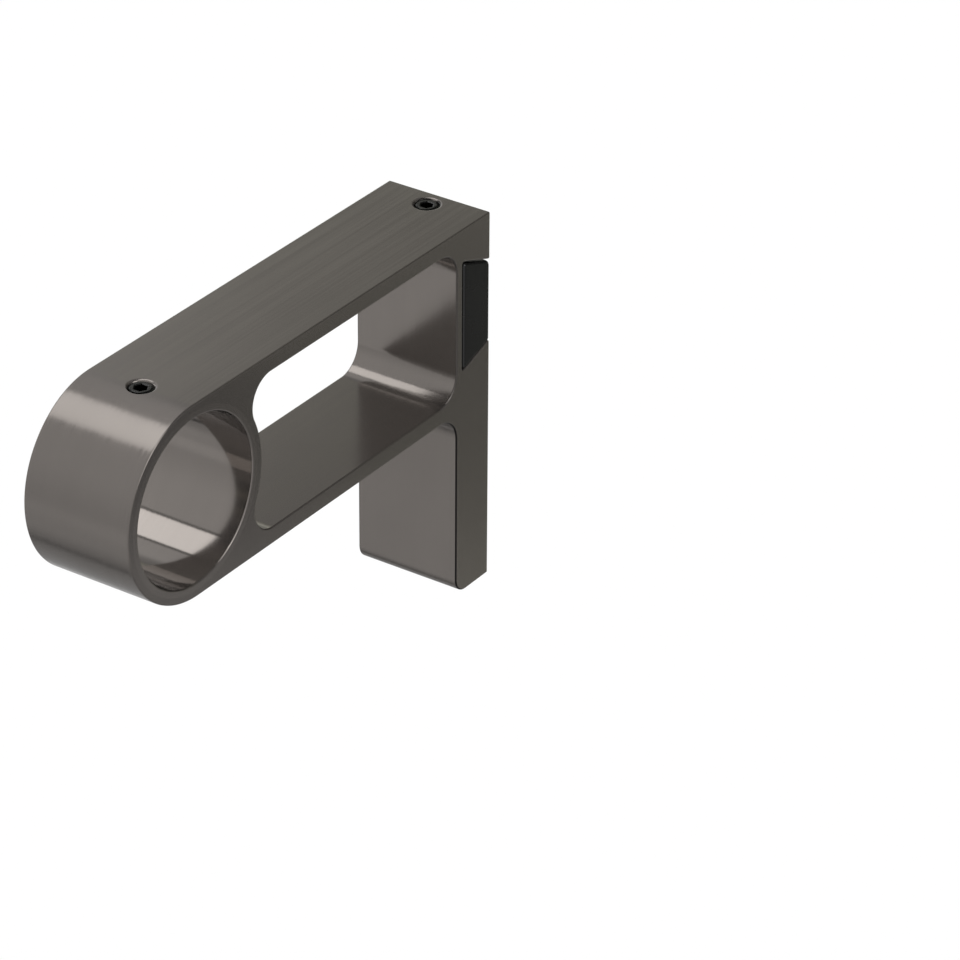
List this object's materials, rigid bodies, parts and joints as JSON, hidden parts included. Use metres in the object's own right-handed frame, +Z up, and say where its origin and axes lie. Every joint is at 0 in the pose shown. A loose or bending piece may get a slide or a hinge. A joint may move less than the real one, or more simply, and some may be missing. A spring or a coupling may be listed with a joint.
{
  "type": "curtain pole bracket",
  "caption": "Curtain pole wall bracket: an open ring on a slotted arm, hung on a hidden dovetail wall plate and locked with grub screws.",
  "frame": {"origin": "on the wall, level with the pole's axis and midway between the two wall-screw holes", "axes": "+X along the pole, +Y into the wall, +Z up"},
  "size_m": [0.02, 0.0955, 0.0681],
  "materials": {
    "gunmetal": "brushed aluminium extrusion with a dark nickel finish",
    "black_plate": "satin black anodised extrusion",
    "dark_steel": "blackened hardened steel"
  },
  "bodies": {
    "bracket": {"bracket_body": "gunmetal", "wall_plate": "black_plate"},
    "pole_screw": {"pole_screw": "dark_steel"},
    "wall_screw": {"wall_screw": "dark_steel"}
  },
  "joints": [
    {"name": "pole_screw_travel", "type": "slide", "parent": "bracket", "child": "pole_screw", "axis": [0, 0, 1], "range_m": [-0.0012, 0.0012]},
    {"name": "wall_screw_travel", "type": "slide", "parent": "bracket", "child": "wall_screw", "axis": [0, 0, 1], "range_m": [0, 0.005]}
  ]
}
